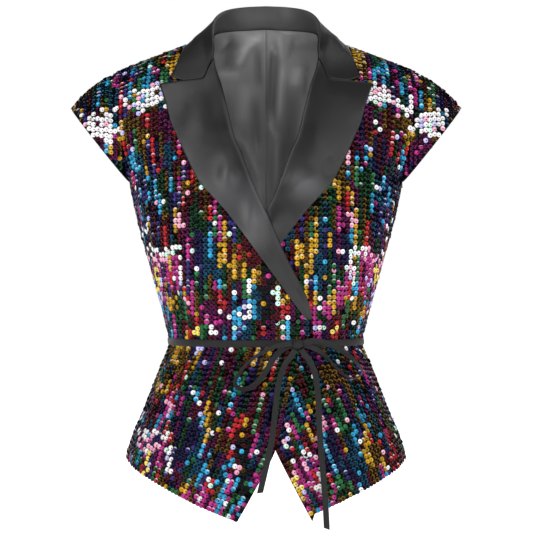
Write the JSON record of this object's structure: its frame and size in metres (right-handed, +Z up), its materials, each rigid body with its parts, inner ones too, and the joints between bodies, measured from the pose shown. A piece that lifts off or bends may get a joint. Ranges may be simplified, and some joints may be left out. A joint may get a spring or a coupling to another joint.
{
  "type": "sequinned wrap waistcoat",
  "caption": "Worn-form wrap waistcoat of sequinned cloth with cap sleeves, satin collar and peaked lapels, pointed fronts and a ribbon belt tied in a bow.",
  "frame": {"origin": "between the two neck-to-shoulder points, where the wearer's shoulders carry the garment", "axes": "+Z up, -Y towards the front of the garment, +X towards the wearer's left"},
  "size_m": [0.5468, 0.2789, 0.727],
  "materials": {
    "sequin_cloth": "multicolour cup sequins on black net",
    "satin": "charcoal satin",
    "lining": "mid-grey satin lining",
    "ribbon": "dark grey ribbon"
  },
  "bodies": {
    "root": {"front_right": "sequin_cloth", "front_left": "sequin_cloth", "back": "sequin_cloth", "sleeve_right": "sequin_cloth", "sleeve_left": "sequin_cloth", "collar": "satin", "lapel_right": "satin", "lapel_left": "satin", "lining_back_right": "lining", "lining_back_left": "lining", "belt": "ribbon", "belt_knot": "ribbon", "bow_loop_right": "ribbon", "bow_loop_left": "ribbon", "tie_tail_right": "ribbon", "tie_tail_left": "ribbon"}
  },
  "joints": []
}
